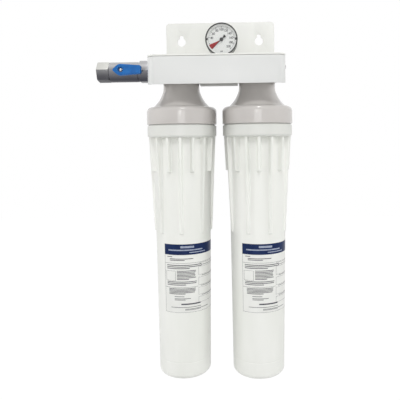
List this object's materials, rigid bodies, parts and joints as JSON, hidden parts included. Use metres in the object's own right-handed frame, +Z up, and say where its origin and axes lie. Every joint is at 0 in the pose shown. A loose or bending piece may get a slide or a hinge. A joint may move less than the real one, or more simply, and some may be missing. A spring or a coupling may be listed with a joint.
{
  "type": "ice machine water filter",
  "caption": "Wall-hung water filter for an ice machine: quarter-turn cartridges hang side by side from a manifold with an inlet ball valve, a pressure gauge and a keyholed bracket.",
  "frame": {"origin": "on the wall, at the back of the bracket plate, midway between the keyholes", "axes": "+Z up, +Y into the wall, so the filter stands out towards -Y; +X to the right as seen from the room, from the inlet valve to the outlet"},
  "size_m": [0.3254, 0.1299, 0.6079],
  "materials": {
    "white_powder_coat": "satin powder coat",
    "white_cover_paint": "satin powder coat, slightly cool",
    "white_plastic": "satin moulded polypropylene",
    "warm_grey_plastic": "gloss moulded",
    "head_plastic": "satin moulded",
    "carbon_black": "porous carbon block",
    "cap_plastic": "moulded",
    "seal_rubber": "black rubber",
    "valve_nickel": "nickel plated, satin to bright",
    "brass": "machined",
    "steel": "zinc plated",
    "seat_white": "white valve seat plastic",
    "lever_blue": "moulded, satin to gloss",
    "gauge_black": "black enamel",
    "dial_white": "printed white dial",
    "lens_clear": "clear"
  },
  "bodies": {
    "manifold": {"mounting_bracket": "white_powder_coat", "front_cover": "white_cover_paint", "cover_screw_1": "steel", "cover_screw_2": "steel", "cover_screw_3": "steel", "cover_screw_4": "steel", "left_head": "head_plastic", "left_head_screw_1": "steel", "left_head_screw_2": "steel", "left_head_screw_3": "steel", "left_head_screw_4": "steel", "right_head": "head_plastic", "right_head_screw_1": "steel", "right_head_screw_2": "steel", "right_head_screw_3": "steel", "right_head_screw_4": "steel", "manifold_link": "head_plastic", "inlet_nipple": "valve_nickel", "outlet_bushing": "brass", "valve_body": "valve_nickel", "valve_end_cap": "valve_nickel", "valve_inlet_seat": "seat_white", "valve_outlet_seat": "seat_white", "valve_packing_nut": "valve_nickel", "gauge_stem": "brass", "gauge_case": "gauge_black", "gauge_movement": "brass", "gauge_dial": "dial_white", "gauge_lens": "lens_clear"},
    "valve_handle": {"valve_ball": "valve_nickel", "valve_stem": "steel", "valve_lever": "lever_blue", "lever_screw": "steel"},
    "gauge_needle": {"gauge_pointer": "gauge_black"},
    "left_neck_seals": {"left_upper_seal": "seal_rubber", "left_lower_seal": "seal_rubber"},
    "left_cartridge": {"left_bell_cap": "warm_grey_plastic", "left_sump": "white_plastic", "left_filter_block": "carbon_black", "left_upper_end_cap": "cap_plastic", "left_lower_end_cap": "cap_plastic"},
    "right_neck_seals": {"right_upper_seal": "seal_rubber", "right_lower_seal": "seal_rubber"},
    "right_cartridge": {"right_bell_cap": "warm_grey_plastic", "right_sump": "white_plastic", "right_filter_block": "carbon_black", "right_upper_end_cap": "cap_plastic", "right_lower_end_cap": "cap_plastic"}
  },
  "joints": [
    {"name": "valve_turn", "type": "hinge", "parent": "manifold", "child": "valve_handle", "pos_m": [-0.1594, -0.068, -0.062], "axis": [0, 1, 0], "range_deg": [0, 90]},
    {"name": "needle_turn", "type": "hinge", "parent": "manifold", "child": "gauge_needle", "pos_m": [0.0053, -0.068, -0.013], "axis": [0, 1, 0], "range_deg": [0, 270], "stiffness_Nm_per_rad": 0.001, "springref_deg": -14.32},
    {"name": "left_lift", "type": "slide", "parent": "manifold", "child": "left_neck_seals", "axis": [0, 0, -1], "range_m": [0, 0.003]},
    {"name": "left_twist", "type": "hinge", "parent": "left_neck_seals", "child": "left_cartridge", "pos_m": [-0.0635, -0.068, -0.085], "axis": [0, 0, -1], "range_deg": [0, 90]},
    {"name": "right_lift", "type": "slide", "parent": "manifold", "child": "right_neck_seals", "axis": [0, 0, -1], "range_m": [0, 0.003]},
    {"name": "right_twist", "type": "hinge", "parent": "right_neck_seals", "child": "right_cartridge", "pos_m": [0.0635, -0.068, -0.085], "axis": [0, 0, -1], "range_deg": [0, 90]}
  ],
  "couplings": [
    {"joint": "left_lift", "follows": "left_twist", "m_per_rad": 0.0019098},
    {"joint": "right_lift", "follows": "right_twist", "m_per_rad": 0.0019098}
  ]
}
